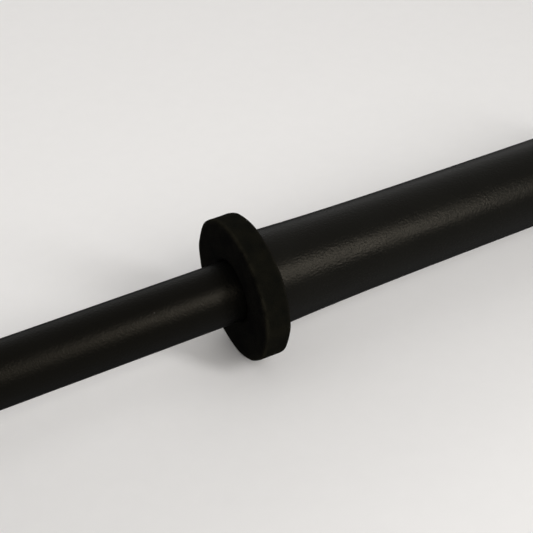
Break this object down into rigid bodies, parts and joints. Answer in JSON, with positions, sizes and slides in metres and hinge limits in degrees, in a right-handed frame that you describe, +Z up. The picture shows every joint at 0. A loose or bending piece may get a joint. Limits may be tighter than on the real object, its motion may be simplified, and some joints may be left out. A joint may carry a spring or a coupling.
{
  "type": "devil stick",
  "caption": "Juggling devil stick: a rubber-covered waist between two foam collars, with thicker padded arms that end in rubber caps.",
  "frame": {"origin": "centre of the stick, on its axis, halfway between the two end faces", "axes": "+X along the stick towards the right arm, which is the same as the left one; +Z up when the stick lies on its two collars"},
  "size_m": [0.65, 0.0522, 0.0522],
  "materials": {
    "waist_rubber": "satin",
    "arm_rubber": "satin",
    "collar_foam": "matte",
    "cap_rubber": "satin",
    "padding_foam": "matte",
    "bush_nylon": "satin",
    "plug_wood": "matte",
    "core_aluminium": "satin",
    "zinced_steel": "satin"
  },
  "bodies": {
    "root": {"core_tube": "core_aluminium", "waist_sleeve": "waist_rubber", "collar_right": "collar_foam", "arm_sleeve_right": "arm_rubber", "spacer_bush_right": "bush_nylon", "arm_padding_right": "padding_foam", "end_plug_right": "plug_wood", "end_cap_right": "cap_rubber", "end_washer_right": "zinced_steel", "end_screw_right": "zinced_steel", "collar_left": "collar_foam", "arm_sleeve_left": "arm_rubber", "spacer_bush_left": "bush_nylon", "arm_padding_left": "padding_foam", "end_plug_left": "plug_wood", "end_cap_left": "cap_rubber", "end_washer_left": "zinced_steel", "end_screw_left": "zinced_steel"}
  },
  "joints": []
}
